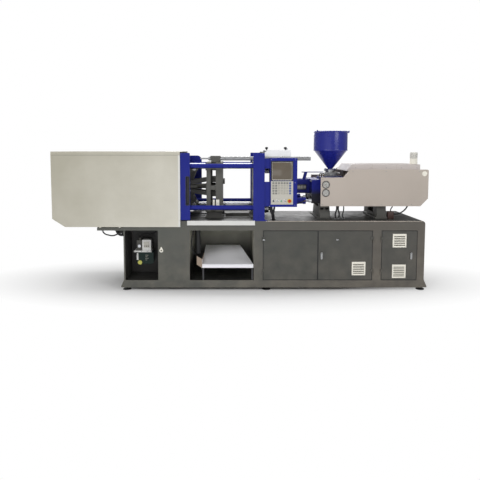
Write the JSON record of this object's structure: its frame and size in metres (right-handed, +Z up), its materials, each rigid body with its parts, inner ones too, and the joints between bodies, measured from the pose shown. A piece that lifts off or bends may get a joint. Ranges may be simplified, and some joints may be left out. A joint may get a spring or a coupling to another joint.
{
  "type": "horizontal injection moulding machine",
  "caption": "Horizontal injection moulding machine: toggle clamp, sliding guard doors, control panel, injection unit and hopper on a cabinet base.",
  "frame": {"origin": "on the floor, under the middle of the machine's box", "axes": "+X along the machine from the clamp to the injection unit, -Y to the operator, +Z up"},
  "size_m": [5.046, 1.15, 2.168],
  "materials": {
    "base_frame": "satin grey paint",
    "level_feet": "blackened steel",
    "pump_unit": "glossy blue paint",
    "electric_rack": "machined steel",
    "product_chute": "satin pale grey paint",
    "lubricator": "satin pale grey paint",
    "lubricator_tank": "dark green translucent plastic",
    "fixed_platen": "painted casting, grey",
    "rear_platen": "painted casting, grey",
    "tie_bars": "ground and hard-chromed",
    "tie_bar_nuts": "machined steel",
    "clamp_cylinder": "satin grey paint",
    "door_frame": "glossy blue paint",
    "sill_strips": "satin pale grey paint",
    "clamp_side_covers": "fine textured beige paint",
    "clamp_roof": "fine textured beige paint",
    "control_box": "glossy blue paint",
    "control_screen": "grey-brown plastic bezel",
    "control_keypad": "pale grey membrane",
    "hoses": "black rubber and cable sheath",
    "injection_guides": "ground and hard-chromed",
    "guide_supports": "painted casting, grey",
    "carriage_cylinders": "glossy blue paint",
    "front_door": "glossy blue paint",
    "front_door_pane": "clear polycarbonate",
    "rear_door": "glossy blue paint",
    "crosshead": "machined steel",
    "moving_platen": "painted casting, grey",
    "safety_bar": "ground and hard-chromed",
    "ejector_plate": "machined steel",
    "rear_link_upper": "machined steel",
    "rear_link_lower": "machined steel",
    "front_link_upper": "blackened steel",
    "front_link_lower": "blackened steel",
    "short_link_upper": "machined steel",
    "short_link_lower": "machined steel",
    "safety_catch": "blackened steel",
    "purge_guard": "satin pale grey paint",
    "stop_button": "red plastic",
    "cabinet_door_left": "satin grey paint",
    "cabinet_door_middle": "satin grey paint",
    "cabinet_door_right": "satin grey paint",
    "door_latch_middle": "machined steel",
    "door_latch_right": "machined steel",
    "injection_housing": "glossy blue paint",
    "barrel": "machined steel",
    "heater_bands": "machined steel",
    "barrel_cover": "glossy blue paint",
    "injection_cylinders": "satin grey paint",
    "injection_side_covers": "fine textured beige paint",
    "injection_hood": "fine textured beige paint",
    "pressure_gauges": "machined steel",
    "carriage_rods": "machined steel",
    "hopper_base": "machined steel",
    "hopper": "glossy blue paint",
    "signal_lamp": "pale translucent plastic",
    "thrust_plate": "painted casting, grey",
    "screw": "ground and hard-chromed",
    "hopper_lid": "glossy blue paint",
    "hopper_gate": "machined steel"
  },
  "bodies": {
    "root": {"base_frame": "base_frame", "level_feet": "level_feet", "pump_unit": "pump_unit", "electric_rack": "electric_rack", "product_chute": "product_chute", "lubricator": "lubricator", "lubricator_tank": "lubricator_tank", "fixed_platen": "fixed_platen", "rear_platen": "rear_platen", "tie_bars": "tie_bars", "tie_bar_nuts": "tie_bar_nuts", "clamp_cylinder": "clamp_cylinder", "door_frame": "door_frame", "sill_strips": "sill_strips", "clamp_side_covers": "clamp_side_covers", "clamp_roof": "clamp_roof", "control_box": "control_box", "control_screen": "control_screen", "control_keypad": "control_keypad", "hoses": "hoses", "injection_guides": "injection_guides", "guide_supports": "guide_supports", "carriage_cylinders": "carriage_cylinders"},
    "front_door": {"front_door": "front_door", "front_door_pane": "front_door_pane"},
    "rear_door": {"rear_door": "rear_door"},
    "crosshead": {"crosshead": "crosshead"},
    "moving_platen": {"moving_platen": "moving_platen", "safety_bar": "safety_bar"},
    "ejector": {"ejector_plate": "ejector_plate"},
    "rear_link_upper": {"rear_link_upper": "rear_link_upper"},
    "rear_link_lower": {"rear_link_lower": "rear_link_lower"},
    "front_link_upper": {"front_link_upper": "front_link_upper"},
    "front_link_lower": {"front_link_lower": "front_link_lower"},
    "short_link_upper": {"short_link_upper": "short_link_upper"},
    "short_link_lower": {"short_link_lower": "short_link_lower"},
    "safety_catch": {"safety_catch": "safety_catch"},
    "purge_guard": {"purge_guard": "purge_guard"},
    "stop_button": {"stop_button": "stop_button"},
    "cabinet_door_left": {"cabinet_door_left": "cabinet_door_left"},
    "cabinet_door_middle": {"cabinet_door_middle": "cabinet_door_middle"},
    "cabinet_door_right": {"cabinet_door_right": "cabinet_door_right"},
    "door_latch_middle": {"door_latch_middle": "door_latch_middle"},
    "door_latch_right": {"door_latch_right": "door_latch_right"},
    "carriage": {"injection_housing": "injection_housing", "barrel": "barrel", "heater_bands": "heater_bands", "barrel_cover": "barrel_cover", "injection_cylinders": "injection_cylinders", "injection_side_covers": "injection_side_covers", "injection_hood": "injection_hood", "pressure_gauges": "pressure_gauges", "carriage_rods": "carriage_rods", "hopper_base": "hopper_base", "hopper": "hopper", "signal_lamp": "signal_lamp"},
    "thrust": {"thrust_plate": "thrust_plate"},
    "screw": {"screw": "screw"},
    "hopper_lid": {"hopper_lid": "hopper_lid"},
    "hopper_gate": {"hopper_gate": "hopper_gate"}
  },
  "joints": [
    {"name": "front_door_slide", "type": "slide", "parent": "root", "child": "front_door", "axis": [1, 0, 0], "range_m": [0, 0.838]},
    {"name": "rear_door_slide", "type": "slide", "parent": "root", "child": "rear_door", "axis": [1, 0, 0], "range_m": [0, 0.748]},
    {"name": "platen_slide", "type": "slide", "parent": "root", "child": "moving_platen", "axis": [1, 0, 0], "range_m": [0, 0.26]},
    {"name": "crosshead_slide", "type": "slide", "parent": "root", "child": "crosshead", "axis": [1, 0, 0], "range_m": [0, 0.1907]},
    {"name": "rear_link_upper_hinge", "type": "hinge", "parent": "root", "child": "rear_link_upper", "pos_m": [-0.665, 0, 1.62], "axis": [0, -1, 0], "range_deg": [0, 89.4]},
    {"name": "rear_link_lower_hinge", "type": "hinge", "parent": "root", "child": "rear_link_lower", "pos_m": [-0.665, 0, 1.12], "axis": [0, 1, 0], "range_deg": [0, 89.4]},
    {"name": "front_link_upper_hinge", "type": "hinge", "parent": "moving_platen", "child": "front_link_upper", "pos_m": [-0.465, 0, 1.47], "axis": [0, -1, 0], "range_deg": [-23.8, 0]},
    {"name": "front_link_lower_hinge", "type": "hinge", "parent": "moving_platen", "child": "front_link_lower", "pos_m": [-0.465, 0, 1.27], "axis": [0, 1, 0], "range_deg": [-23.8, 0]},
    {"name": "short_link_upper_hinge", "type": "hinge", "parent": "crosshead", "child": "short_link_upper", "pos_m": [-0.826, 0, 1.41], "axis": [0, -1, 0], "range_deg": [-5.7, 0]},
    {"name": "short_link_lower_hinge", "type": "hinge", "parent": "crosshead", "child": "short_link_lower", "pos_m": [-0.826, 0, 1.33], "axis": [0, 1, 0], "range_deg": [-5.7, 0]},
    {"name": "ejector_slide", "type": "slide", "parent": "moving_platen", "child": "ejector", "axis": [1, 0, 0], "range_m": [0, 0.09]},
    {"name": "safety_catch_hinge", "type": "hinge", "parent": "root", "child": "safety_catch", "pos_m": [0.265, -0.289, 1.846], "axis": [0, -1, 0], "range_deg": [0, 15]},
    {"name": "purge_guard_hinge", "type": "hinge", "parent": "root", "child": "purge_guard", "pos_m": [0.324, 0, 1.735], "axis": [0, -1, 0], "range_deg": [0, 60]},
    {"name": "stop_button_press", "type": "slide", "parent": "root", "child": "stop_button", "axis": [0, 1, 0], "range_m": [0, 0.006], "stiffness_N_per_m": 1500},
    {"name": "cabinet_door_left_hinge", "type": "hinge", "parent": "root", "child": "cabinet_door_left", "pos_m": [0.275, -0.557, 0.25], "axis": [0, 0, -1], "range_deg": [0, 110]},
    {"name": "cabinet_door_middle_hinge", "type": "hinge", "parent": "root", "child": "cabinet_door_middle", "pos_m": [1.761, -0.557, 0.25], "axis": [0, 0, 1], "range_deg": [0, 95]},
    {"name": "cabinet_door_right_hinge", "type": "hinge", "parent": "root", "child": "cabinet_door_right", "pos_m": [1.863, -0.557, 0.25], "axis": [0, 0, -1], "range_deg": [0, 95]},
    {"name": "door_latch_middle_turn", "type": "hinge", "parent": "cabinet_door_middle", "child": "door_latch_middle", "pos_m": [1.069, -0.55, 0.505], "axis": [0, 1, 0], "range_deg": [0, 90]},
    {"name": "door_latch_right_turn", "type": "hinge", "parent": "cabinet_door_right", "child": "door_latch_right", "pos_m": [2.27, -0.55, 0.505], "axis": [0, -1, 0], "range_deg": [0, 90]},
    {"name": "carriage_slide", "type": "slide", "parent": "root", "child": "carriage", "axis": [1, 0, 0], "range_m": [-0.04, 0.23]},
    {"name": "injection_slide", "type": "slide", "parent": "carriage", "child": "thrust", "axis": [1, 0, 0], "range_m": [0, 0.16]},
    {"name": "screw_turn", "type": "hinge", "parent": "thrust", "child": "screw", "pos_m": [1.95, 0, 1.37], "axis": [1, 0, 0], "continuous": true},
    {"name": "hopper_lid_hinge", "type": "hinge", "parent": "carriage", "child": "hopper_lid", "pos_m": [1.528, 0, 2.148], "axis": [0, 1, 0], "range_deg": [0, 100]},
    {"name": "hopper_gate_slide", "type": "slide", "parent": "carriage", "child": "hopper_gate", "axis": [1, 0, 0], "range_m": [0, 0.06]}
  ],
  "couplings": [
    {"joint": "crosshead_slide", "follows": "platen_slide", "ratio": 0.7329},
    {"joint": "rear_link_upper_hinge", "follows": "platen_slide", "rad_per_m": 5.9784},
    {"joint": "rear_link_lower_hinge", "follows": "platen_slide", "rad_per_m": 5.9784},
    {"joint": "front_link_upper_hinge", "follows": "platen_slide", "rad_per_m": -1.5798},
    {"joint": "front_link_lower_hinge", "follows": "platen_slide", "rad_per_m": -1.5798},
    {"joint": "short_link_upper_hinge", "follows": "platen_slide", "rad_per_m": -0.3621},
    {"joint": "short_link_lower_hinge", "follows": "platen_slide", "rad_per_m": -0.3621}
  ]
}
